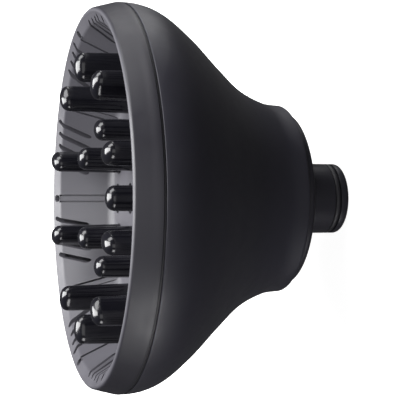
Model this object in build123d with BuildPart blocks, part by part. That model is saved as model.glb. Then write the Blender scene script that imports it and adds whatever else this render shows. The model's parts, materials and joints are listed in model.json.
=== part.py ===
from build123d import *
import os

# Diffuser for a hair dryer. The spigot points down and the bowl with its fingers opens upwards (+Z).
# The origin is the centre of the spigot's end face. Lengths are millimetres, angles are degrees.

os.makedirs("parts", exist_ok=True)

# ---- driving dimensions ----
SPIGOT_R = 15.0  # fits the dryer's central bore
SPIGOT_WALL = 2.2
COLLAR_FACE_Z = 24.8  # the face that seats on the dryer
COLLAR_R = 37.0
NECK_Z = 28.5  # rear edge of the housing
NECK_R = 39.8
RIM_R = 80.0  # largest radius, at the seam
SEAM_Z = 99.2
SEAM_GAP = 0.8
LIP_Z = 110.6
FLOOR_Z = 85.4  # top face of the bowl floor
FLOOR_R = 59.8
TIP_Z = 116.0  # tips of the outer fingers
WALL = 2.4
CLEAR = 0.3  # gap between neighbouring pieces

# ---- bowl ----
BEND_R = 71.8  # where the bowl wall meets the rim band
BEND_Z = 108.3
CREST_R = 76.2
CREST_Z = LIP_Z + 0.5  # before it is rounded off
CREST_ROUND = 1.3
BEND_ROUND = 2.5
FLOOR_ROUND = 6.0
BAND_MIDDLE = (79.0, 104.6)
SKIRT_R = 76.4
SKIRT_Z = 94.0
SKIRT_WALL = 1.8
FLOOR_BACK_Z = FLOOR_Z - WALL
CHANNEL_COUNT = 10
CHANNEL_W = 3.6
CHANNEL_PAN = 0.35  # depth between the two edge grooves
CHANNEL_EDGE_W = 0.7
CHANNEL_EDGE_DEPTH = 1.2
CHANNEL_END_IN_R = 72.2  # opening at the end of each channel
CHANNEL_END_OUT_R = 75.1
CHANNEL_END_ROUND = 1.2
CHANNEL_START = 18.0
SLOT_W = 1.9
SLOT_PITCH = 5.8
SLOTS_PER_GROUP = 4
SLOT_GROUPS = 10
SLOT_LEAN = 36.0  # off the radial direction
SLOT_IN_R = 65.8
SLOT_OUT_R = 72.8
MIRROR_ANGLE = -54.0  # the slots on both sides lean symmetrically about this line
VENT_COUNT = 5
VENT_START = -54.0
VENT_PCRS = (52.0, 28.5)
VENT_L = 13.6  # across the radius
VENT_W = 7.0

# ---- fingers ----
OUTER_COUNT = 10
OUTER_PCR = 53.6
OUTER_START = 0.0
INNER_COUNT = 5
INNER_PCR = 29.0
INNER_START = -90.0
INNER_TIP_Z = 109.7
OUTER_HALF_W = 4.9  # half width at the base, across the bowl's radius
OUTER_STRETCH = 1.34  # outer fingers are oval, longer along the bowl's radius
INNER_HALF_W = 5.4
INNER_STRETCH = 0.87
FINGER_DRAFT = 0.4  # a finger is this much slimmer at the tip
DOME_H = 4.0
DOME_FULLNESS = 0.62
FINGER_WALL = 1.5
SOCKET_GAP = 0.15
SOCKET_H = 4.5  # the outer sockets cut into the foot of the wall
FLANGE_W = 1.1
FLANGE_T = 1.5

# ---- behind the bowl floor ----
RETAINER_IN_R = 20.0
RETAINER_OUT_R = 61.0
RETAINER_TOP_Z = FLOOR_BACK_Z - FLANGE_T
RETAINER_T = 2.0
POST_COUNT = 5
POST_PCR = 41.0
POST_START = -90.0
POST_R = 3.2
SCREW_R = 1.35
SCREW_HOLE_R = 1.45
SCREW_HEAD_R = 2.6
SCREW_HEAD_H = 1.8
SCREW_HEAD_ROUND = 0.7
DRIVE_L = 2.4  # cross recess
DRIVE_W = 0.6
DRIVE_DEPTH = 0.9
SPREADER_APEX_Z = 50.0
SPREADER_R = 46.0
SPREADER_Z = 72.0
SPREADER_T = 1.8

# ---- inner duct ----
DUCT_WALL = 1.6
DUCT_FOOT_Z = 39.2
DUCT_FOOT_T = 2.0
DUCT_IN_R = 31.0
BOSS_COUNT = 5
BOSS_PCR = 54.0
BOSS_START = -54.0
BOSS_R = 3.2
BOSS_TOP_Z = 66.0
BOSS_LENGTH = 12.0
BOSS_HOLE_DEPTH = 4.0
PAD_T = 10.0

# ---- inlet collar ----
HUB_IN_R = SPIGOT_R + 0.2
HUB_OUT_R = 18.0
INLET_OUT_R = 29.0
INLET_WALL = 1.3
DRUM_WALL = 1.8
FACE_T = 2.2
COLLAR_TOP_Z = 38.0
SHOULDER_Z = 35.6
FLANGE_R = 39.0
SPOKE_COUNT = 6
SPOKE_W = 2.4
SPOKE_Z = 30.0
SCREEN_Z = 35.6
SCREEN_T = 0.8
SCREEN_HOLE_R = 1.1
SCREEN_ROWS = ((20.4, 36), (23.4, 42), (26.4, 48))  # radius and number of holes
MAGNET_COUNT = 12
MAGNET_R = 2.2
MAGNET_T = 3.0
BACKPLATE_T = 1.2
SEAL_Z = 3.9
SEAL_W = 2.3
SEAL_GROOVE_W = 2.9
SEAL_DEPTH = 1.3
SPIGOT_FLANGE_T = 1.6
SPIGOT_END_ROUND = 2.0
RELIEF_R = 14.7  # the spigot is slimmer where it passes through the hub
RELIEF_BELOW = 0.8  # the relief starts this far below the collar face


def export(part, name):
    part.label = name
    export_step(part, f"parts/{name}.step")


def ring(inner, outer):
    """Draw a flat ring in the active sketch."""
    Circle(outer)
    Circle(inner, mode=Mode.SUBTRACT)


def finger_ovals(grow, mode=Mode.ADD):
    """Draw the ovals of all fingers in the active sketch, grown on every side."""
    for half_w, stretch, pcr, count, start in (
        (OUTER_HALF_W, OUTER_STRETCH, OUTER_PCR, OUTER_COUNT, OUTER_START),
        (INNER_HALF_W, INNER_STRETCH, INNER_PCR, INNER_COUNT, INNER_START),
    ):
        with PolarLocations(pcr, count, start_angle=start):
            Ellipse(half_w * stretch + grow, half_w + grow, mode=mode)


def floor_vents(mode=Mode.ADD):
    """Draw the oval vents of the bowl floor in the active sketch."""
    for pcr in VENT_PCRS:
        with PolarLocations(pcr, VENT_COUNT, start_angle=VENT_START):
            SlotOverall(VENT_L, VENT_W, rotation=90, mode=mode)


# ---- rear housing: a bell from the neck to the seam ----
BELL = [(41.0, 37.5), (46.9, 49.9), (57.4, 62.3), (68.9, 74.7), (77.5, 87.0)]
BELL_INSIDE = [(41.0, 44.0), (45.4, 51.5), (55.7, 64.0), (66.9, 76.3), (75.3, 88.0)]
SEAM_IN_R = RIM_R - WALL
NECK_BORE_R = COLLAR_R + CLEAR
FLANGE_SEAT_R = FLANGE_R + CLEAR


def bell_outside():
    """Draw the bell's outside line in the active line builder."""
    Spline((NECK_R, NECK_Z), *BELL, (RIM_R, SEAM_Z), tangents=((0.05, 1), (0, 1)))


with BuildPart() as rear_housing:
    # bosses that the inner duct is screwed to, cut off along the bell's outside
    with BuildSketch(Plane.XY.offset(BOSS_TOP_Z)):
        with PolarLocations(BOSS_PCR, BOSS_COUNT, start_angle=BOSS_START):
            Circle(BOSS_R)
    extrude(amount=-BOSS_LENGTH)
    with BuildSketch(Plane.XZ):
        with BuildLine():
            bell_outside()
            Polyline((RIM_R, SEAM_Z), (RIM_R, NECK_Z), (NECK_R, NECK_Z))
        make_face()
    revolve(axis=Axis.Z, mode=Mode.SUBTRACT)
    with BuildSketch(Plane.XZ):
        with BuildLine():
            bell_outside()
            Line((RIM_R, SEAM_Z), (SEAM_IN_R, SEAM_Z))
            Spline(
                (SEAM_IN_R, SEAM_Z),
                *reversed(BELL_INSIDE),
                (FLANGE_SEAT_R, SHOULDER_Z),
                tangents=((0, -1), (0, -1)),
            )
            Polyline(
                (FLANGE_SEAT_R, SHOULDER_Z),
                (NECK_BORE_R, SHOULDER_Z),
                (NECK_BORE_R, NECK_Z),
                (NECK_R, NECK_Z),
            )
        make_face()
    revolve(axis=Axis.Z)
    with BuildSketch(Plane.XY.offset(BOSS_TOP_Z)):
        with PolarLocations(BOSS_PCR, BOSS_COUNT, start_angle=BOSS_START):
            Circle(SCREW_HOLE_R)
    extrude(amount=-BOSS_HOLE_DEPTH, mode=Mode.SUBTRACT)
    neck_edges = rear_housing.edges().filter_by(GeomType.CIRCLE).group_by(Axis.Z)[0]
    fillet(neck_edges.sort_by(SortBy.RADIUS)[-1], radius=0.5)
export(rear_housing.part, "rear_housing")


# ---- front bowl: rim band, wall and floor in one moulding ----
def channel_profile(depth):
    """Draw the strip between the bowl wall and the same line sunk into it by depth."""
    Polygon(
        (FLOOR_R + depth, FLOOR_Z - depth / 2),
        (BEND_R + depth, BEND_Z - depth / 2),
        (BEND_R, BEND_Z + 1),
        (FLOOR_R - 4, FLOOR_Z + 4),
        align=None,
    )


BAND_Z = SEAM_Z + SEAM_GAP

with BuildPart() as channel_cutter:
    with BuildSketch(Plane.XZ):
        channel_profile(CHANNEL_PAN)
    extrude(amount=CHANNEL_W / 2, both=True)
    edge_y = (CHANNEL_W - CHANNEL_EDGE_W) / 2
    for side in (-1, 1):
        with BuildSketch(Plane.XZ.offset(side * edge_y)):
            channel_profile(CHANNEL_EDGE_DEPTH)
        extrude(amount=CHANNEL_EDGE_W / 2, both=True)

with BuildPart() as slot_cutter:
    with BuildSketch(Plane.XY.offset(FLOOR_BACK_Z)):
        for group in range(SLOT_GROUPS):
            middle = group * 360 / SLOT_GROUPS
            beyond_mirror = (middle - MIRROR_ANGLE) % 360 > 180
            lean = SLOT_LEAN if beyond_mirror else -SLOT_LEAN
            travel = (SLOT_OUT_R - SLOT_IN_R) / 2
            slant = Vector(1, 0).rotate(Axis.Z, lean)
            reach = travel * slant.Y / slant.X
            length = 2 * travel / slant.X + SLOT_W
            for index in range(SLOTS_PER_GROUP):
                along = (index - (SLOTS_PER_GROUP - 1) / 2) * SLOT_PITCH
                centre = Vector(SLOT_IN_R + travel, along + reach)
                with Locations(Location(centre.rotate(Axis.Z, middle), middle + lean)):
                    SlotOverall(length, SLOT_W)
    extrude(amount=LIP_Z - FLOOR_BACK_Z + 1)

with BuildPart() as front_bowl:
    with BuildSketch(Plane.XZ) as bowl_section:
        with BuildLine():
            Polyline(
                (RIM_R, BAND_Z),
                (SKIRT_R, BAND_Z),
                (SKIRT_R, SKIRT_Z),
                (SKIRT_R - SKIRT_WALL, SKIRT_Z),
                (SKIRT_R - SKIRT_WALL, BEND_Z - 2.6),
                (BEND_R + 1.6, BEND_Z - 1.7),
                (FLOOR_R + 1.2, FLOOR_BACK_Z),
                (0, FLOOR_BACK_Z),
                (0, FLOOR_Z),
                (FLOOR_R, FLOOR_Z),
                (BEND_R, BEND_Z),
                (CREST_R, CREST_Z),
            )
            ThreePointArc((CREST_R, CREST_Z), BAND_MIDDLE, (RIM_R, BAND_Z))
        make_face()
        corners = bowl_section.vertices()
        fillet(corners.sort_by_distance((CREST_R, CREST_Z))[0], radius=CREST_ROUND)
        fillet(corners.sort_by_distance((BEND_R, BEND_Z))[0], radius=BEND_ROUND)
        fillet(corners.sort_by_distance((FLOOR_R, FLOOR_Z))[0], radius=FLOOR_ROUND)
    revolve(axis=Axis.Z)
    with PolarLocations(0, CHANNEL_COUNT, start_angle=CHANNEL_START):
        add(channel_cutter.part, mode=Mode.SUBTRACT)
    add(slot_cutter.part, mode=Mode.SUBTRACT)
    # each channel ends in a short opening next to the lip
    with BuildSketch(Plane.XY.offset(BEND_Z - 3)):
        end_pcr = (CHANNEL_END_IN_R + CHANNEL_END_OUT_R) / 2
        with PolarLocations(end_pcr, CHANNEL_COUNT, start_angle=CHANNEL_START):
            RectangleRounded(CHANNEL_END_OUT_R - CHANNEL_END_IN_R, CHANNEL_W - 0.4, CHANNEL_END_ROUND)
    extrude(amount=LIP_Z - BEND_Z + 4, mode=Mode.SUBTRACT)
    # finger sockets and floor vents
    with BuildSketch(Plane.XY.offset(FLOOR_BACK_Z)):
        finger_ovals(SOCKET_GAP)
    extrude(amount=WALL + SOCKET_H, mode=Mode.SUBTRACT)
    with BuildSketch(Plane.XY.offset(FLOOR_BACK_Z)):
        floor_vents()
    extrude(amount=WALL, mode=Mode.SUBTRACT)
    # posts for the retainer screws
    with BuildSketch(Plane.XY.offset(FLOOR_BACK_Z)):
        with PolarLocations(POST_PCR, POST_COUNT, start_angle=POST_START):
            Circle(POST_R)
    extrude(amount=-FLANGE_T)
    with BuildSketch(Plane.XY.offset(RETAINER_TOP_Z)):
        with PolarLocations(POST_PCR, POST_COUNT, start_angle=POST_START):
            Circle(SCREW_HOLE_R)
    extrude(amount=FLANGE_T + WALL - 1, mode=Mode.SUBTRACT)
export(front_bowl.part, "front_bowl")

with BuildPart() as rim_gasket:
    with BuildSketch(Plane.XY.offset(SEAM_Z)):
        ring(SEAM_IN_R + 0.2, RIM_R - 0.5)
    extrude(amount=SEAM_GAP)
export(rim_gasket.part, "rim_gasket")


# ---- fingers: hollow, oval, domed, each with a flange behind the floor ----
def build_finger(half_w, stretch, tip_z):
    """Make one finger standing on the Z axis, its stretch along X."""
    base_z = RETAINER_TOP_Z
    shoulder_z = tip_z - DOME_H
    tip_w = half_w - FINGER_DRAFT
    flange_w = half_w + FLANGE_W
    core_w = half_w - FINGER_WALL
    core_top_z = tip_z - FINGER_WALL
    with BuildPart() as finger:
        with BuildSketch(Plane.XZ):
            with BuildLine():
                Polyline(
                    (core_w, base_z),
                    (flange_w, base_z),
                    (flange_w, FLOOR_BACK_Z),
                    (half_w, FLOOR_BACK_Z),
                    (half_w, FLOOR_Z),
                    (tip_w, shoulder_z),
                )
                Bezier(
                    (tip_w, shoulder_z),
                    (tip_w, shoulder_z + DOME_H * DOME_FULLNESS),
                    (tip_w * DOME_FULLNESS, tip_z),
                    (0, tip_z),
                )
                Line((0, tip_z), (0, core_top_z))
                Bezier(
                    (0, core_top_z),
                    (tip_w / 3, core_top_z),
                    (tip_w - FINGER_WALL, shoulder_z + DOME_H / 3),
                    (tip_w - FINGER_WALL, shoulder_z),
                )
                Line((tip_w - FINGER_WALL, shoulder_z), (core_w, base_z))
            make_face()
        revolve(axis=Axis.Z)
        scale(by=(stretch, 1, 1))
    return finger.part


def place_fingers(shape, name, pcr, count, start):
    for index, spot in enumerate(PolarLocations(pcr, count, start_angle=start), start=1):
        export(shape.moved(spot), f"{name}_{index:02d}")


outer_finger = build_finger(OUTER_HALF_W, OUTER_STRETCH, TIP_Z)
place_fingers(outer_finger, "outer_finger", OUTER_PCR, OUTER_COUNT, OUTER_START)
inner_finger = build_finger(INNER_HALF_W, INNER_STRETCH, INNER_TIP_Z)
place_fingers(inner_finger, "inner_finger", INNER_PCR, INNER_COUNT, INNER_START)

# ---- finger retainer: a ring plate that clamps the finger flanges ----
with BuildPart() as finger_retainer:
    with BuildSketch(Plane.XY.offset(RETAINER_TOP_Z)):
        ring(RETAINER_IN_R, RETAINER_OUT_R)
        finger_ovals(-FINGER_WALL, Mode.SUBTRACT)
        floor_vents(Mode.SUBTRACT)
        with PolarLocations(POST_PCR, POST_COUNT, start_angle=POST_START):
            Circle(SCREW_HOLE_R, mode=Mode.SUBTRACT)
    extrude(amount=-RETAINER_T)
export(finger_retainer.part, "finger_retainer")

# ---- air spreader: a shallow cone on legs that turns the air outwards ----
LEG_TOP_Z = RETAINER_TOP_Z - RETAINER_T
HEAD_SEAT_Z = SPREADER_Z + 1.0

with BuildPart() as air_spreader:
    with BuildSketch(Plane.XZ):
        with BuildLine():
            Spline(
                (0, SPREADER_APEX_Z),
                (POST_PCR / 2, SPREADER_APEX_Z + 7),
                (SPREADER_R, SPREADER_Z),
                tangents=((1, 0), (1, 0.5)),
            )
            Line((SPREADER_R, SPREADER_Z), (SPREADER_R, SPREADER_Z + SPREADER_T))
            Spline(
                (SPREADER_R, SPREADER_Z + SPREADER_T),
                (POST_PCR / 2, SPREADER_APEX_Z + 7 + SPREADER_T),
                (0, SPREADER_APEX_Z + SPREADER_T),
                tangents=((-1, -0.5), (-1, 0)),
            )
            Line((0, SPREADER_APEX_Z + SPREADER_T), (0, SPREADER_APEX_Z))
        make_face()
    revolve(axis=Axis.Z)
    with BuildSketch(Plane.XY.offset(LEG_TOP_Z)):
        with PolarLocations(POST_PCR, POST_COUNT, start_angle=POST_START):
            Circle(POST_R)
    extrude(until=Until.NEXT, dir=(0, 0, -1))
    with BuildSketch(Plane.XY.offset(LEG_TOP_Z)):
        with PolarLocations(POST_PCR, POST_COUNT, start_angle=POST_START):
            Circle(SCREW_HOLE_R)
    extrude(amount=SPREADER_APEX_Z - LEG_TOP_Z, mode=Mode.SUBTRACT)
    with BuildSketch(Plane.XY.offset(HEAD_SEAT_Z)):
        with PolarLocations(POST_PCR, POST_COUNT, start_angle=POST_START):
            Circle(SCREW_HEAD_R + SCREW_HOLE_R - SCREW_R)
    extrude(amount=SPREADER_APEX_Z - HEAD_SEAT_Z, mode=Mode.SUBTRACT)
export(air_spreader.part, "air_spreader")


# ---- screws ----
def build_screws(seat_z, length, pcr, count, start, up):
    """Pan-head screws whose heads bear at seat_z and whose shanks run along up (+1 or -1)."""
    with BuildPart() as screws:
        with BuildSketch(Plane.XY.offset(seat_z)):
            with PolarLocations(pcr, count, start_angle=start):
                Circle(SCREW_R)
        extrude(amount=up * length)
        with BuildSketch(Plane.XY.offset(seat_z)):
            with PolarLocations(pcr, count, start_angle=start):
                Circle(SCREW_HEAD_R)
        extrude(amount=-up * SCREW_HEAD_H)
        heads = screws.edges().filter_by(GeomType.CIRCLE).group_by(Axis.Z)
        fillet(heads[0] if up > 0 else heads[-1], radius=SCREW_HEAD_ROUND)
        with BuildSketch(Plane.XY.offset(seat_z - up * SCREW_HEAD_H)):
            with PolarLocations(pcr, count, start_angle=start):
                Rectangle(DRIVE_L, DRIVE_W)
                Rectangle(DRIVE_W, DRIVE_L)
        extrude(amount=up * DRIVE_DEPTH, mode=Mode.SUBTRACT)
    return screws.part


retainer_screw_length = FLOOR_BACK_Z + 1 - HEAD_SEAT_Z
export(
    build_screws(HEAD_SEAT_Z, retainer_screw_length, POST_PCR, POST_COUNT, POST_START, 1),
    "retainer_screws",
)
PAD_TOP_Z = BOSS_TOP_Z + PAD_T
export(
    build_screws(PAD_TOP_Z, PAD_T + BOSS_HOLE_DEPTH - 0.5, BOSS_PCR, BOSS_COUNT, BOSS_START, -1),
    "duct_screws",
)

# ---- inner duct: the heat-shield funnel between inlet and bowl ----
DUCT = [(36.6, 50.0), (46.2, 61.5), (58.0, 74.0), (67.4, 84.0)]
DUCT_TOP = (71.5, 91.0)

with BuildPart() as inner_duct:
    with BuildSketch(Plane.XZ):
        with BuildLine():
            foot_top = DUCT_FOOT_Z + DUCT_FOOT_T
            Spline((DUCT_IN_R + DUCT_WALL, foot_top), *DUCT, DUCT_TOP, tangents=((0, 1), (0.4, 1)))
            Line(DUCT_TOP, (DUCT_TOP[0] - DUCT_WALL, DUCT_TOP[1]))
            Spline(
                (DUCT_TOP[0] - DUCT_WALL, DUCT_TOP[1]),
                *[(r - DUCT_WALL * 0.75, z + DUCT_WALL * 0.65) for r, z in reversed(DUCT)],
                (DUCT_IN_R, foot_top),
                tangents=((-0.4, -1), (0, -1)),
            )
            Polyline(
                (DUCT_IN_R, foot_top),
                (DUCT_IN_R, DUCT_FOOT_Z),
                (FLANGE_R - 0.6, DUCT_FOOT_Z),
                (FLANGE_R - 0.6, foot_top),
                (DUCT_IN_R + DUCT_WALL, foot_top),
            )
        make_face()
    revolve(axis=Axis.Z)
    # pads that stand on the housing bosses
    with BuildSketch(Plane.XY.offset(BOSS_TOP_Z)):
        with PolarLocations(BOSS_PCR, BOSS_COUNT, start_angle=BOSS_START):
            Circle(BOSS_R)
    extrude(amount=PAD_T)
    with BuildSketch(Plane.XY.offset(BOSS_TOP_Z)):
        with PolarLocations(BOSS_PCR, BOSS_COUNT, start_angle=BOSS_START):
            Circle(SCREW_HOLE_R)
    extrude(amount=PAD_T, mode=Mode.SUBTRACT)
export(inner_duct.part, "inner_duct")

with BuildPart() as duct_gasket:
    with BuildSketch(Plane.XY.offset(COLLAR_TOP_Z)):
        ring(DUCT_IN_R + 1, FLANGE_R - 1)
    extrude(amount=DUCT_FOOT_Z - COLLAR_TOP_Z)
export(duct_gasket.part, "duct_gasket")

# ---- rear collar: annular inlet, magnet channel and hub for the spigot ----
with BuildPart() as rear_collar:
    with BuildSketch(Plane.XZ) as collar_section:
        with BuildLine():
            Polyline(
                (INLET_OUT_R, COLLAR_FACE_Z),
                (COLLAR_R, COLLAR_FACE_Z),
                (COLLAR_R, SHOULDER_Z),
                (FLANGE_R, SHOULDER_Z),
                (FLANGE_R, COLLAR_TOP_Z),
                (COLLAR_R - DRUM_WALL, COLLAR_TOP_Z),
                (COLLAR_R - DRUM_WALL, COLLAR_FACE_Z + FACE_T),
                (INLET_OUT_R + INLET_WALL, COLLAR_FACE_Z + FACE_T),
                (INLET_OUT_R + INLET_WALL, COLLAR_TOP_Z),
                (INLET_OUT_R, COLLAR_TOP_Z),
                close=True,
            )
        make_face()
        corners = collar_section.vertices()
        fillet(corners.sort_by_distance((COLLAR_R, COLLAR_FACE_Z))[0], radius=1.6)
    revolve(axis=Axis.Z)
    with BuildSketch(Plane.XY.offset(COLLAR_FACE_Z)):
        ring(HUB_IN_R, HUB_OUT_R)
    extrude(amount=COLLAR_TOP_Z - COLLAR_FACE_Z)
    with BuildSketch(Plane.XY.offset(SPOKE_Z)):
        with PolarLocations((HUB_OUT_R + INLET_OUT_R) / 2, SPOKE_COUNT):
            Rectangle(INLET_OUT_R - HUB_OUT_R + 1, SPOKE_W)
    extrude(amount=SCREEN_Z - SPOKE_Z)
export(rear_collar.part, "rear_collar")

with BuildPart() as inlet_screen:
    with BuildSketch(Plane.XY.offset(SCREEN_Z)):
        ring(HUB_OUT_R + CLEAR, INLET_OUT_R - CLEAR)
        for row_r, holes in SCREEN_ROWS:
            with PolarLocations(row_r, holes):
                Circle(SCREEN_HOLE_R, mode=Mode.SUBTRACT)
    extrude(amount=SCREEN_T)
export(inlet_screen.part, "inlet_screen")

MAGNET_PCR = (INLET_OUT_R + INLET_WALL + COLLAR_R - DRUM_WALL) / 2
MAGNET_Z = COLLAR_FACE_Z + FACE_T

with BuildPart() as collar_magnets:
    with BuildSketch(Plane.XY.offset(MAGNET_Z)):
        with PolarLocations(MAGNET_PCR, MAGNET_COUNT):
            Circle(MAGNET_R)
    extrude(amount=MAGNET_T)
export(collar_magnets.part, "collar_magnets")

with BuildPart() as magnet_backplate:
    with BuildSketch(Plane.XY.offset(MAGNET_Z + MAGNET_T)):
        ring(INLET_OUT_R + INLET_WALL + 0.2, COLLAR_R - DRUM_WALL - 0.2)
    extrude(amount=BACKPLATE_T)
export(magnet_backplate.part, "magnet_backplate")

# ---- spigot: a closed tube through the hub, with a seal ring near its end ----
with BuildPart() as spigot:
    with BuildSketch(Plane.XY):
        Circle(SPIGOT_R)
    extrude(amount=COLLAR_TOP_Z)
    with BuildSketch(Plane.XY.offset(COLLAR_TOP_Z)):
        Circle(HUB_OUT_R)
    extrude(amount=SPIGOT_FLANGE_T)
    with BuildSketch(Plane.XY.offset(SPIGOT_WALL)):
        Circle(SPIGOT_R - SPIGOT_WALL)
    extrude(amount=COLLAR_TOP_Z, mode=Mode.SUBTRACT)
    fillet(spigot.edges().group_by(Axis.Z)[0], radius=SPIGOT_END_ROUND)
    # relieved where it passes through the hub
    with BuildSketch(Plane.XY.offset(COLLAR_FACE_Z - RELIEF_BELOW)):
        ring(RELIEF_R, SPIGOT_R + 1)
    extrude(amount=COLLAR_TOP_Z - COLLAR_FACE_Z + RELIEF_BELOW, mode=Mode.SUBTRACT)
    with BuildSketch(Plane.XY.offset(SEAL_Z - (SEAL_GROOVE_W - SEAL_W) / 2)):
        ring(SPIGOT_R - SEAL_DEPTH, SPIGOT_R + 1)
    extrude(amount=SEAL_GROOVE_W, mode=Mode.SUBTRACT)
export(spigot.part, "spigot")

with BuildPart() as spigot_seal_ring:
    with BuildSketch(Plane.XY.offset(SEAL_Z)):
        ring(SPIGOT_R - SEAL_DEPTH + 0.05, SPIGOT_R)
    extrude(amount=SEAL_W)
    rounds = spigot_seal_ring.edges().filter_by(GeomType.CIRCLE)
    fillet(rounds.sort_by(SortBy.RADIUS)[-2:], radius=0.4)
export(spigot_seal_ring.part, "spigot_seal_ring")
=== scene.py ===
import json
import math

import bmesh
import bpy
from mathutils import Matrix, Vector
from mathutils.geometry import interpolate_bezier


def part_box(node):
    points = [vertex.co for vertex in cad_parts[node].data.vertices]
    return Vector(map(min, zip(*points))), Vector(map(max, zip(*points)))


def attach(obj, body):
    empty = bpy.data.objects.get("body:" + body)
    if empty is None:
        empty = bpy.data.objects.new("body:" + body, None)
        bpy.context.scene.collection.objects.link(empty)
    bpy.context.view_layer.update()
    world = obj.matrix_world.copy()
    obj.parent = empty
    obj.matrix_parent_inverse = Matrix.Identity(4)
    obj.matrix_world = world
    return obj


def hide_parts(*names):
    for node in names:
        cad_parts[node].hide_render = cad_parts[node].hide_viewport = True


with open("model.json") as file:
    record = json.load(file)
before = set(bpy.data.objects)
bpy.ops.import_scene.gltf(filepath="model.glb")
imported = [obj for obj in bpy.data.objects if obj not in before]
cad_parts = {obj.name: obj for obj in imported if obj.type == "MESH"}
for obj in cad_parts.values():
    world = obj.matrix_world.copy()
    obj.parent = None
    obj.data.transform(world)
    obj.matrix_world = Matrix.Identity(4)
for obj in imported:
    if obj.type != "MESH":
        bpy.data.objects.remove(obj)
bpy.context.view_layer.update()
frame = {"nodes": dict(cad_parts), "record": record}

# The visual model of the dryer diffuser. Metres, in the CAD frame: the spigot's end face is on the floor
# and the bowl opens upwards (+Z). mm() turns the drawing's millimetres into metres.

BODY = "root"


def mm(value):
    return value / 1000.0


# ---- sizes taken from the frame ----
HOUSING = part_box("rear_housing")
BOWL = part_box("front_bowl")
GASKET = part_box("rim_gasket")
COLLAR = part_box("rear_collar")
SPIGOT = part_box("spigot")
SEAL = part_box("spigot_seal_ring")
RIM_R = HOUSING[1][0]
NECK_Z = HOUSING[0][2]
SEAM_Z = HOUSING[1][2]
BAND_Z = GASKET[1][2]
LIP_Z = BOWL[1][2]
COLLAR_FACE_Z = COLLAR[0][2]
TIP_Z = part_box("outer_finger_01")[1][2]
INNER_TIP_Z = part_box("inner_finger_01")[1][2]

# ---- sizes of the drawing ----
NECK_R = mm(39.8)
WALL = mm(2.4)
FLOOR_Z = mm(85.4)
FLOOR_R = mm(59.8)
BEND_R = mm(71.8)
BEND_Z = mm(108.3)
CREST_R = mm(76.2)
COLLAR_R = mm(37.0)
SPIGOT_R = mm(15.0)
AROUND = 360  # segments round a lathe


# ---- mesh helpers ----
def arc(centre, radius, start, end, steps=8):
    """Points of an arc in the (radius, height) plane, angles in degrees."""
    points = []
    for step in range(steps + 1):
        angle = math.radians(start + (end - start) * step / steps)
        points.append((centre[0] + radius * math.cos(angle), centre[1] + radius * math.sin(angle)))
    return points


def smooth_line(points, start_slope, end_slope, steps=10):
    """A smooth curve through the points, as Bezier spans with Catmull-Rom handles."""
    knots = [Vector(p) for p in points]
    slopes = []
    for i in range(len(knots)):
        if i == 0:
            slopes.append(Vector(start_slope).normalized())
        elif i == len(knots) - 1:
            slopes.append(Vector(end_slope).normalized())
        else:
            slopes.append((knots[i + 1] - knots[i - 1]).normalized())
    line = []
    for i in range(len(knots) - 1):
        reach = (knots[i + 1] - knots[i]).length / 3
        leaving = knots[i] + slopes[i] * reach
        arriving = knots[i + 1] - slopes[i + 1] * reach
        span = interpolate_bezier(knots[i], leaving, arriving, knots[i + 1], steps + 1)
        line += [(p[0], p[1]) for p in span[(1 if i else 0):]]
    return line


def rounded(points, radii, steps=6):
    """A polyline whose corners are rounded; radii gives a corner's radius by its index."""
    out = []
    for i, point in enumerate(points):
        radius = radii.get(i, 0)
        if not radius:
            out.append(point)
            continue
        here = Vector(point)
        back = (Vector(points[i - 1]) - here).normalized()
        ahead = (Vector(points[(i + 1) % len(points)]) - here).normalized()
        half = back.angle(ahead) / 2
        reach = radius / math.tan(half)
        centre = here + (back + ahead).normalized() * radius / math.sin(half)
        first = here + back * reach - centre
        last = here + ahead * reach - centre
        turn = first.angle_signed(last)
        for step in range(steps + 1):
            p = centre + Matrix.Rotation(-turn * step / steps, 2) @ first
            out.append((p[0], p[1]))
    return out


def mesh_object(name, bm, smooth_angle=32.0):
    mesh = bpy.data.meshes.new(name)
    bmesh.ops.recalc_face_normals(bm, faces=bm.faces)
    bm.to_mesh(mesh)
    bm.free()
    piece = bpy.data.objects.new(name, mesh)
    bpy.context.collection.objects.link(piece)
    mesh.shade_smooth()
    mesh.set_sharp_from_angle(angle=math.radians(smooth_angle))
    return piece


def lathe(name, profile, around=AROUND, smooth_angle=32.0):
    """Turn a closed (radius, height) profile about Z."""
    bm = bmesh.new()
    loops = []
    for r, z in profile:
        if r < 1e-6:
            loops.append([bm.verts.new((0, 0, z))])
        else:
            turns = [math.tau * k / around for k in range(around)]
            loops.append([bm.verts.new((r * math.cos(turn), r * math.sin(turn), z)) for turn in turns])
    for i in range(len(loops)):
        a, b = loops[i], loops[(i + 1) % len(loops)]
        if len(a) == 1 and len(b) == 1:
            continue
        for k in range(around):
            nxt = (k + 1) % around
            corners = [a[k % len(a)], a[nxt % len(a)], b[nxt % len(b)], b[k % len(b)]]
            unique = list(dict.fromkeys(corners))
            if len(unique) > 2:
                bm.faces.new(unique)
    return mesh_object(name, bm, smooth_angle)


def polar(count, radius, start):
    """Places round the axis, as (x, y, angle)."""
    for k in range(count):
        angle = math.radians(start) + math.tau * k / count
        yield radius * math.cos(angle), radius * math.sin(angle), angle


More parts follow.
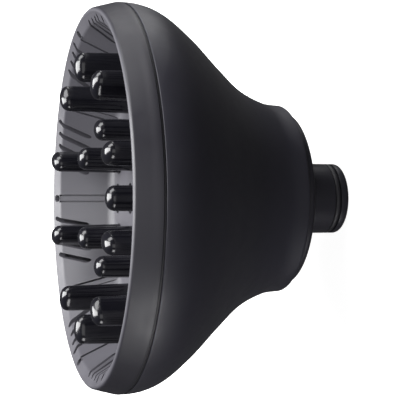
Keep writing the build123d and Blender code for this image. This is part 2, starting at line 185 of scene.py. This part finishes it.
# ---- materials ----
def plastic(
    name, colour, roughness, grain_size, grain_depth, mottle=0.25, rough_spread=0.06, coat=0.0, sheen=0.0
):
    """Moulded plastic: fine spark-eroded grain as bump, with slow drifts of tone and gloss."""
    mat = bpy.data.materials.new(name)
    mat.use_nodes = True
    nodes, links = mat.node_tree.nodes, mat.node_tree.links
    shader = nodes["Principled BSDF"]
    place = nodes.new("ShaderNodeTexCoord")

    def noise(scale, detail, rough):
        node = nodes.new("ShaderNodeTexNoise")
        node.inputs["Scale"].default_value = scale
        node.inputs["Detail"].default_value = detail
        node.inputs["Roughness"].default_value = rough
        links.new(place.outputs["Object"], node.inputs["Vector"])
        return node

    drift = noise(38.0, 3.0, 0.55)
    tone = nodes.new("ShaderNodeMix")
    tone.data_type = "RGBA"
    tone.inputs["A"].default_value = (*[c * (1 - mottle) for c in colour], 1)
    tone.inputs["B"].default_value = (*[min(1, c * (1 + mottle)) for c in colour], 1)
    links.new(drift.outputs["Fac"], tone.inputs["Factor"])
    links.new(tone.outputs["Result"], shader.inputs["Base Color"])

    gloss = nodes.new("ShaderNodeMapRange")
    gloss.inputs["From Min"].default_value = 0.3
    gloss.inputs["From Max"].default_value = 0.7
    gloss.inputs["To Min"].default_value = roughness - rough_spread
    gloss.inputs["To Max"].default_value = roughness + rough_spread
    smear = noise(90.0, 4.0, 0.6)
    links.new(smear.outputs["Fac"], gloss.inputs["Value"])
    links.new(gloss.outputs["Result"], shader.inputs["Roughness"])

    if grain_depth:
        grain = noise(1 / grain_size, 2.0, 0.5)
        bump = nodes.new("ShaderNodeBump")
        bump.inputs["Strength"].default_value = 0.5
        bump.inputs["Distance"].default_value = grain_depth
        links.new(grain.outputs["Fac"], bump.inputs["Height"])
        links.new(bump.outputs["Normal"], shader.inputs["Normal"])
    shader.inputs["IOR"].default_value = 1.5
    shader.inputs["Coat Weight"].default_value = coat
    shader.inputs["Coat Roughness"].default_value = 0.05
    shader.inputs["Sheen Weight"].default_value = sheen
    shader.inputs["Sheen Roughness"].default_value = 0.4
    return mat


def painted_shade_outside(mat, colour, radius, blend):
    """Painted shade: change the base colour to another one beyond a radius from the axis."""
    nodes, links = mat.node_tree.nodes, mat.node_tree.links
    base = nodes["Principled BSDF"].inputs["Base Color"]
    place = nodes.new("ShaderNodeTexCoord")
    flat = nodes.new("ShaderNodeVectorMath")
    flat.operation = "MULTIPLY"
    flat.inputs[1].default_value = (1, 1, 0)
    distance = nodes.new("ShaderNodeVectorMath")
    distance.operation = "LENGTH"
    ramp = nodes.new("ShaderNodeMapRange")
    ramp.inputs["From Min"].default_value = radius
    ramp.inputs["From Max"].default_value = radius + blend
    mix = nodes.new("ShaderNodeMix")
    mix.data_type = "RGBA"
    mix.inputs["B"].default_value = (*colour, 1)
    links.new(place.outputs["Object"], flat.inputs[0])
    links.new(flat.outputs["Vector"], distance.inputs[0])
    links.new(distance.outputs["Value"], ramp.inputs["Value"])
    links.new(ramp.outputs["Result"], mix.inputs["Factor"])
    links.new(base.links[0].from_socket, mix.inputs["A"])
    links.new(mix.outputs["Result"], base)


def metal(name, colour, roughness, grain_size):
    """Plated steel: brushed streaks as bump and gloss."""
    mat = bpy.data.materials.new(name)
    mat.use_nodes = True
    nodes, links = mat.node_tree.nodes, mat.node_tree.links
    shader = nodes["Principled BSDF"]
    shader.inputs["Metallic"].default_value = 1.0
    place = nodes.new("ShaderNodeTexCoord")
    stretch = nodes.new("ShaderNodeMapping")
    stretch.inputs["Scale"].default_value = (1.0, 1.0, 12.0)
    streak = nodes.new("ShaderNodeTexNoise")
    streak.inputs["Scale"].default_value = 1 / grain_size
    streak.inputs["Detail"].default_value = 4.0
    links.new(place.outputs["Object"], stretch.inputs["Vector"])
    links.new(stretch.outputs["Vector"], streak.inputs["Vector"])
    ramp = nodes.new("ShaderNodeMapRange")
    ramp.inputs["To Min"].default_value = roughness - 0.08
    ramp.inputs["To Max"].default_value = roughness + 0.12
    links.new(streak.outputs["Fac"], ramp.inputs["Value"])
    links.new(ramp.outputs["Result"], shader.inputs["Roughness"])
    tone = nodes.new("ShaderNodeMix")
    tone.data_type = "RGBA"
    tone.inputs["A"].default_value = (*[c * 0.85 for c in colour], 1)
    tone.inputs["B"].default_value = (*colour, 1)
    links.new(streak.outputs["Fac"], tone.inputs["Factor"])
    links.new(tone.outputs["Result"], shader.inputs["Base Color"])
    bump = nodes.new("ShaderNodeBump")
    bump.inputs["Strength"].default_value = 0.3
    bump.inputs["Distance"].default_value = mm(0.02)
    links.new(streak.outputs["Fac"], bump.inputs["Height"])
    links.new(bump.outputs["Normal"], shader.inputs["Normal"])
    return mat


MATERIALS = {
    "soft_touch_black": plastic(
        "soft_touch_black", (0.027, 0.026, 0.037), 0.50, mm(0.28), mm(0.02), mottle=0.12, sheen=0.05
    ),
    "satin_black": plastic("satin_black", (0.072, 0.070, 0.082), 0.48, mm(0.35), mm(0.02), mottle=0.10),
    "gloss_black": plastic(
        "gloss_black", (0.007, 0.007, 0.010), 0.19, mm(1.2), mm(0.004), rough_spread=0.03, coat=0.25
    ),
    "collar_black": plastic("collar_black", (0.025, 0.024, 0.032), 0.36, mm(0.3), mm(0.015), mottle=0.15),
    "seal_rubber": plastic("seal_rubber", (0.020, 0.0195, 0.024), 0.55, mm(0.5), mm(0.03)),
    "duct_grey": plastic("duct_grey", (0.035, 0.035, 0.038), 0.5, mm(0.4), mm(0.03)),
    "screw_steel": metal("screw_steel", (0.56, 0.56, 0.57), 0.32, mm(0.3)),
    "screen_steel": metal("screen_steel", (0.40, 0.40, 0.41), 0.38, mm(0.2)),
    "magnet_plate": metal("magnet_plate", (0.72, 0.71, 0.69), 0.2, mm(0.5)),
}
# Painted shade: the outer band of the bowl moulding gets a darker base colour for the side the lights
# barely reach, though it is the same satin moulding as the bowl.
painted_shade_outside(MATERIALS["satin_black"], (0.019, 0.018, 0.025), CREST_R + mm(0.4), mm(0.8))
NODE_SLOT = {part["node"]: part["material_slot"] for part in frame["record"]["subparts"]}


def cad_object(node):
    return frame["nodes"][node]


for node, slot_name in NODE_SLOT.items():
    carried = cad_object(node)
    carried.data.materials.clear()
    carried.data.materials.append(MATERIALS[slot_name])


def stand_for(piece, node):
    """Give a new piece the finish and the body of the CAD node it replaces."""
    piece.data.materials.append(MATERIALS[NODE_SLOT[node]])
    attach(piece, BODY)
    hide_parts(node)


# ---- floor, lights and camera ----
def area_light(name, place, target, size, power, size_y=None):
    data = bpy.data.lights.new(name, "AREA")
    data.shape = "RECTANGLE"
    data.size = size
    data.size_y = size_y or size
    data.energy = power
    lamp = bpy.data.objects.new(name, data)
    lamp.location = place
    lamp.rotation_euler = (Vector(target) - Vector(place)).to_track_quat("-Z", "Y").to_euler()
    bpy.context.collection.objects.link(lamp)


floor_bm = bmesh.new()
bmesh.ops.create_grid(floor_bm, x_segments=4, y_segments=4, size=4.0)
studio_floor = mesh_object("studio_floor", floor_bm)
floor_mat = bpy.data.materials.new("pale_floor")
floor_mat.use_nodes = True
floor_shader = floor_mat.node_tree.nodes["Principled BSDF"]
floor_shader.inputs["Base Color"].default_value = (0.6, 0.6, 0.6, 1)
floor_shader.inputs["Roughness"].default_value = 0.9
floor_shader.inputs["Specular IOR Level"].default_value = 0.0
floor_shader.inputs["Emission Color"].default_value = (1, 1, 1, 1)
floor_shader.inputs["Emission Strength"].default_value = 0.9
studio_floor.data.materials.append(floor_mat)
studio_floor.visible_glossy = False
studio_floor.visible_diffuse = False

world = bpy.data.worlds.new("studio")
world.use_nodes = True
world.node_tree.nodes["Background"].inputs["Color"].default_value = (1, 1, 1, 1)
world.node_tree.nodes["Background"].inputs["Strength"].default_value = 0.06
bpy.context.scene.world = world

# The object lies along the picture's width with the bowl on the left, so the camera is rolled by a
# quarter turn.
CAMERA_TILT = math.radians(17.42)
CAMERA_PLACE = Vector((mm(-0.7), mm(-472.6), mm(210.5)))
CAMERA_LENS = 105.7
toward_camera = Vector((0, -math.cos(CAMERA_TILT), math.sin(CAMERA_TILT)))
picture_up = Vector((1, 0, 0))
picture_right = picture_up.cross(toward_camera)
camera_data = bpy.data.cameras.new("camera")
camera_data.lens = CAMERA_LENS
camera_data.sensor_width = 36.0
camera_data.clip_start = 0.01
camera = bpy.data.objects.new("camera", camera_data)
bpy.context.collection.objects.link(camera)
turn = Matrix((picture_right, picture_up, toward_camera)).transposed().to_4x4()
camera.matrix_world = Matrix.Translation(CAMERA_PLACE) @ turn
bpy.context.scene.camera = camera
bpy.context.scene.view_settings.view_transform = "Standard"

MIDDLE = (0, 0, mm(90))
area_light("bowl_softbox", (0.18, 0.04, 1.25), MIDDLE, 1.5, 42.0, 0.7)
area_light("upper_strip", (0.92, -0.14, 0.72), MIDDLE, 0.6, 10.5, 0.9)
area_light("lower_strip", (-0.90, -0.40, 0.10), MIDDLE, 0.5, 5.5, 0.6)
area_light("front_fill", (-0.10, -1.25, 0.30), MIDDLE, 0.9, 2.6)
area_light("rear_upper", (0.70, 0.25, -0.05), (0, 0, mm(50)), 0.4, 1.5)


# ---- rear housing ----
def housing_shell():
    """The bell: outside line from the neck to the seam, and the inside line back down."""
    outside = smooth_line(
        [
            (NECK_R + mm(0.1), NECK_Z + mm(1.2)),
            (mm(41.0), mm(37.5)),
            (mm(46.9), mm(49.9)),
            (mm(57.4), mm(62.3)),
            (mm(68.9), mm(74.7)),
            (mm(77.5), mm(87.0)),
            (RIM_R, SEAM_Z - mm(0.3)),
        ],
        (0.06, 1),
        (0, 1),
    )
    inside = smooth_line(
        [
            (RIM_R - WALL, SEAM_Z),
            (mm(75.3), mm(88.0)),
            (mm(66.9), mm(76.3)),
            (mm(55.7), mm(64.0)),
            (mm(45.4), mm(51.5)),
            (mm(41.0), mm(44.0)),
            (COLLAR_R + mm(2.3), mm(35.6)),
        ],
        (0, -1),
        (0, -1),
    )
    neck = arc((NECK_R - mm(0.55), NECK_Z + mm(0.6)), mm(0.6), -90, -5, 5)
    seam_edge = arc((RIM_R - mm(0.3), SEAM_Z - mm(0.3)), mm(0.3), 15, 90, 4)
    bore = COLLAR_R + mm(0.3)
    profile = neck + outside + seam_edge + inside + [(bore, mm(35.6)), (bore, NECK_Z)]
    return lathe("housing_bell", profile)


stand_for(housing_shell(), "rear_housing")


# ---- front bowl ----
FLOOR_ROUND = mm(6.0)
BEND_ROUND = mm(2.5)
EDGE_ROUND = mm(0.3)
BAND_TOP = (mm(77.6), mm(109.6))
BAND_MIDDLE = (mm(79.0), mm(104.6))
LIP_START = (mm(75.0), mm(110.05))
SKIRT_R = mm(76.4)
SKIRT_Z = mm(94.0)
SKIRT_WALL = mm(1.8)
CHANNELS = 10
CHANNEL_PAN = mm(0.35)
CHANNEL_EDGE_W = mm(0.7)
CHANNEL_EDGE_DEPTH = mm(1.2)
CHANNEL_END_ROUND = mm(1.2)
CHANNEL_START = 18.0
CHANNEL_W = mm(3.6)
SLOT_GROUPS = 10
SLOTS_PER_GROUP = 4
SLOT_PITCH = mm(5.8)
SLOT_W = mm(1.9)
SLOT_LEAN = math.radians(36.0)
SLOT_IN_R = mm(65.8)
SLOT_OUT_R = mm(72.8)
CHANNEL_END_IN_R = mm(72.2)
CHANNEL_END_OUT_R = mm(75.1)
MIRROR_ANGLE = -54.0
VENT_PCRS = (mm(52.0), mm(28.5))
VENTS_PER_RING = 5
VENT_START = -54.0
VENT_L = mm(13.6)
VENT_W = mm(7.0)
OUTER_FINGERS = 10
INNER_FINGERS = 5
OUTER_START = 0.0
INNER_START = -90.0
OUTER_PCR = mm(53.6)
INNER_PCR = mm(29.0)
OUTER_HALF_W = mm(4.9)
OUTER_STRETCH = 1.34
INNER_HALF_W = mm(5.4)
INNER_STRETCH = 0.87
SOCKET_GAP = mm(0.15)
SOCKET_H = mm(4.5)


def prism(bm, outline, low, high):
    """Add a closed prism over a plan outline of (x, y) points, counter-clockwise."""
    bottom = [bm.verts.new((x, y, low)) for x, y in outline]
    top = [bm.verts.new((x, y, high)) for x, y in outline]
    bm.faces.new(list(reversed(bottom)))
    bm.faces.new(top)
    for i in range(len(outline)):
        j = (i + 1) % len(outline)
        bm.faces.new((bottom[i], bottom[j], top[j], top[i]))


def slot_outline(x, y, angle, length, width, steps=6):
    """A straight slot with round ends, centred at x, y."""
    reach = (length - width) / 2
    along = Vector((math.cos(angle), math.sin(angle)))
    points = []
    for end in (1, -1):
        centre = Vector((x, y)) + along * reach * end
        for step in range(steps + 1):
            swing = angle + (0 if end == 1 else math.pi) - math.pi / 2 + math.pi * step / steps
            points.append((centre.x + width / 2 * math.cos(swing), centre.y + width / 2 * math.sin(swing)))
    return points


def oval_outline(x, y, angle, half_long, half_wide, steps=32):
    points = []
    for step in range(steps):
        swing = math.tau * step / steps
        p = Vector((half_long * math.cos(swing), half_wide * math.sin(swing)))
        turned_x = p.x * math.cos(angle) - p.y * math.sin(angle)
        turned_y = p.x * math.sin(angle) + p.y * math.cos(angle)
        points.append((x + turned_x, y + turned_y))
    return points


def box_outline(x, y, angle, length, width, corner):
    """A rectangle with round corners, centred at x, y."""
    half_x = length / 2
    half_y = width / 2
    corners = [(half_x, -half_y), (half_x, half_y), (-half_x, half_y), (-half_x, -half_y)]
    turn_in_place = Matrix.Rotation(angle, 2)
    outline = rounded(corners, {k: corner for k in range(4)}, 5)
    return [tuple(turn_in_place @ Vector(point) + Vector((x, y))) for point in outline]


def radial_bar(bm, section, angle, sideways, width):
    """Extrude a (radius, height) section across the radial line at angle."""
    out = Vector((math.cos(angle), math.sin(angle), 0))
    across = Vector((-math.sin(angle), math.cos(angle), 0))
    rings = []
    for side in (sideways - width / 2, sideways + width / 2):
        rings.append([bm.verts.new(out * r + across * side + Vector((0, 0, z))) for r, z in section])
    near, far = rings
    bm.faces.new(near)
    bm.faces.new(list(reversed(far)))
    for i in range(len(section)):
        j = (i + 1) % len(section)
        bm.faces.new((near[j], near[i], far[i], far[j]))


def channel_section(depth):
    return [
        (FLOOR_R + depth, FLOOR_Z - depth / 2),
        (BEND_R + depth, BEND_Z - depth / 2),
        (BEND_R, BEND_Z + mm(1)),
        (FLOOR_R - mm(4), FLOOR_Z + mm(4)),
    ]


def cut(piece, cutter_bm):
    """Subtract a mesh of separate closed cutters and apply the result."""
    cutter = mesh_object("cutter", cutter_bm)
    modifier = piece.modifiers.new("cut", "BOOLEAN")
    modifier.operation = "DIFFERENCE"
    modifier.solver = "EXACT"
    modifier.object = cutter
    graph = bpy.context.evaluated_depsgraph_get()
    mesh = bpy.data.meshes.new_from_object(piece.evaluated_get(graph))
    piece.modifiers.clear()
    piece.data = mesh
    cutter_mesh = cutter.data
    bpy.data.objects.remove(cutter)
    bpy.data.meshes.remove(cutter_mesh)


def bowl_moulding():
    band_points = [BAND_TOP, BAND_MIDDLE, (RIM_R, BAND_Z + EDGE_ROUND)]
    band = smooth_line(band_points, (0.3, -1), (0.05, -1), 12)
    lip = smooth_line([LIP_START, (CREST_R, LIP_Z), band[0]], (1, 0.5), (0.3, -1), 8)[:-1]
    corners = [
        (0, FLOOR_Z),
        (FLOOR_R, FLOOR_Z),
        (BEND_R, BEND_Z),
        lip[0],
    ]
    bowl = rounded(corners, {1: FLOOR_ROUND, 2: BEND_ROUND}, 12)[:-1]
    inner_r = SKIRT_R - SKIRT_WALL
    back = [
        (RIM_R - EDGE_ROUND, BAND_Z),
        (SKIRT_R, BAND_Z),
        (SKIRT_R, SKIRT_Z),
        (inner_r, SKIRT_Z),
        (inner_r, BEND_Z - mm(2.6)),
        (BEND_R + mm(1.6), BEND_Z - mm(1.7)),
        (FLOOR_R + mm(1.2), FLOOR_Z - WALL),
        (0, FLOOR_Z - WALL),
    ]
    piece = lathe("bowl_moulding", bowl + lip + band + back)
    floor_back = FLOOR_Z - WALL - mm(1)

    cutters = bmesh.new()
    for group in range(SLOT_GROUPS):
        middle = 360.0 * group / SLOT_GROUPS
        leans_up = (middle - MIRROR_ANGLE) % 360 > 180
        lean = SLOT_LEAN if leans_up else -SLOT_LEAN
        travel = (SLOT_OUT_R - SLOT_IN_R) / 2
        facing = math.radians(middle)
        for index in range(SLOTS_PER_GROUP):
            along = (index - (SLOTS_PER_GROUP - 1) / 2) * SLOT_PITCH + travel * math.tan(lean)
            centre = Matrix.Rotation(facing, 2) @ Vector((SLOT_IN_R + travel, along))
            length = 2 * travel / math.cos(lean) + SLOT_W
            outline = slot_outline(centre.x, centre.y, facing + lean, length, SLOT_W)
            prism(cutters, outline, floor_back, LIP_Z + mm(2))
    for half_w, stretch, count, pcr, start in (
        (OUTER_HALF_W, OUTER_STRETCH, OUTER_FINGERS, OUTER_PCR, OUTER_START),
        (INNER_HALF_W, INNER_STRETCH, INNER_FINGERS, INNER_PCR, INNER_START),
    ):
        for x, y, angle in polar(count, pcr, start):
            outline = oval_outline(x, y, angle, half_w * stretch + SOCKET_GAP, half_w + SOCKET_GAP)
            prism(cutters, outline, floor_back, FLOOR_Z + SOCKET_H)
    for pcr in VENT_PCRS:
        for x, y, angle in polar(VENTS_PER_RING, pcr, VENT_START):
            outline = slot_outline(x, y, angle + math.pi / 2, VENT_L, VENT_W, 12)
            prism(cutters, outline, floor_back, FLOOR_Z + mm(1))
    cut(piece, cutters)

    pans = bmesh.new()
    edges = bmesh.new()
    ends = bmesh.new()
    for k in range(CHANNELS):
        angle = math.radians(CHANNEL_START) + math.tau * k / CHANNELS
        radial_bar(pans, channel_section(CHANNEL_PAN), angle, 0, CHANNEL_W - CHANNEL_EDGE_W)
        for side in (-1, 1):
            sideways = side * (CHANNEL_W - CHANNEL_EDGE_W) / 2
            radial_bar(edges, channel_section(CHANNEL_EDGE_DEPTH), angle, sideways, CHANNEL_EDGE_W)
    end_length = CHANNEL_END_OUT_R - CHANNEL_END_IN_R
    for x, y, angle in polar(CHANNELS, (CHANNEL_END_IN_R + CHANNEL_END_OUT_R) / 2, CHANNEL_START):
        outline = box_outline(x, y, angle, end_length, CHANNEL_W - mm(0.4), CHANNEL_END_ROUND)
        prism(ends, outline, BEND_Z - mm(3), LIP_Z + mm(1))
    cut(piece, pans)
    cut(piece, edges)
    cut(piece, ends)
    piece.data.shade_smooth()
    piece.data.set_sharp_from_angle(angle=math.radians(30))
    return piece


stand_for(bowl_moulding(), "front_bowl")


# ---- seam gasket ----
gasket_in = RIM_R - WALL + mm(0.2)
gasket_out = RIM_R - mm(0.5)
gasket_corners = [(gasket_in, SEAM_Z), (gasket_out, SEAM_Z), (gasket_out, BAND_Z), (gasket_in, BAND_Z)]
gasket_section = rounded(gasket_corners, {1: mm(0.2), 2: mm(0.2)}, 3)
stand_for(lathe("seam_gasket", gasket_section), "rim_gasket")


# ---- fingers ----
def finger(name, half_w, stretch, tip_z, waist):
    """A hollow tapered finger with a full dome and a flange behind the floor, its stretch along X.

    waist pinches the flanks in the middle, so a long finger reads as two ribs."""
    dome_h = mm(4.0)
    fullness = 0.62
    wall = mm(1.5)
    tip_w = half_w - mm(0.4)
    flange_z = FLOOR_Z - WALL - mm(1.5)
    shoulder_z = tip_z - dome_h
    flange_w = half_w + mm(1.1)
    outside = smooth_line([(half_w, FLOOR_Z), (tip_w, shoulder_z)], (-0.02, 1), (-0.01, 1), 16)
    dome = [
        (p[0], p[1])
        for p in interpolate_bezier(
            Vector((tip_w, shoulder_z)),
            Vector((tip_w, shoulder_z + dome_h * fullness)),
            Vector((tip_w * fullness, tip_z)),
            Vector((0, tip_z)),
            24,
        )
    ][1:-1] + [(0, tip_z)]
    core = [
        (0, tip_z - wall),
        ((tip_w - wall) * 0.7, tip_z - wall * 1.4),
        (tip_w - wall, shoulder_z),
        (half_w - wall, flange_z),
    ]
    foot = [(flange_w, flange_z), (flange_w, FLOOR_Z - WALL), (half_w, FLOOR_Z - WALL)]
    piece = lathe(name, foot + outside + dome + core, around=96, smooth_angle=40)
    for vertex in piece.data.vertices:
        co = vertex.co
        pinch = waist * math.exp(-((co.x / (0.42 * half_w)) ** 2)) if co.z > FLOOR_Z else 0
        co.y *= 1 - pinch
        co.x *= stretch
    return piece


def finger_ring(node_name, count, pcr, start, shape):
    for k, (x, y, angle) in enumerate(polar(count, pcr, start), start=1):
        piece = finger(f"{node_name}_{k:02d}_moulding", *shape)
        piece.data.transform(Matrix.Translation((x, y, 0)) @ Matrix.Rotation(angle, 4, "Z"))
        stand_for(piece, f"{node_name}_{k:02d}")


outer_shape = (OUTER_HALF_W, OUTER_STRETCH, TIP_Z, 0.10)
inner_shape = (INNER_HALF_W, INNER_STRETCH, INNER_TIP_Z, 0.0)
finger_ring("outer_finger", OUTER_FINGERS, OUTER_PCR, OUTER_START, outer_shape)
finger_ring("inner_finger", INNER_FINGERS, INNER_PCR, INNER_START, inner_shape)


# ---- spigot and its seal ring ----
def spigot_tube():
    groove_low = SEAL[0][2] - mm(0.3)
    groove_high = SEAL[1][2] + mm(0.3)
    groove_r = SPIGOT_R - mm(1.3)
    top_z = SPIGOT[1][2]
    flange_z = top_z - mm(1.6)
    flange_r = SPIGOT[1][0]
    bore_r = SPIGOT_R - mm(2.2)
    base_z = mm(2.2)
    relief_r = mm(14.7)
    relief_z = COLLAR_FACE_Z - mm(0.8)
    outline = [
        (0, 0),
        (SPIGOT_R, 0),
        (SPIGOT_R, groove_low),
        (groove_r, groove_low),
        (groove_r, groove_high),
        (SPIGOT_R, groove_high),
        (SPIGOT_R, relief_z),
        (relief_r, relief_z),
        (relief_r, flange_z),
        (flange_r, flange_z),
        (flange_r, top_z),
        (bore_r, top_z),
        (bore_r, base_z),
        (0, base_z),
    ]
    radii = {1: mm(2.0), 2: mm(0.15), 5: mm(0.15), 10: mm(0.3), 12: mm(1.0)}
    return lathe("spigot_tube", rounded(outline, radii), around=160)


stand_for(spigot_tube(), "spigot")
seal_in = SPIGOT_R - mm(1.25)
seal_low, seal_high = SEAL[0][2], SEAL[1][2]
seal_corners = [(seal_in, seal_low), (SPIGOT_R, seal_low), (SPIGOT_R, seal_high), (seal_in, seal_high)]
seal_section = rounded(seal_corners, {1: mm(1.0), 2: mm(1.0)}, 8)
stand_for(lathe("spigot_seal", seal_section, around=160), "spigot_seal_ring")
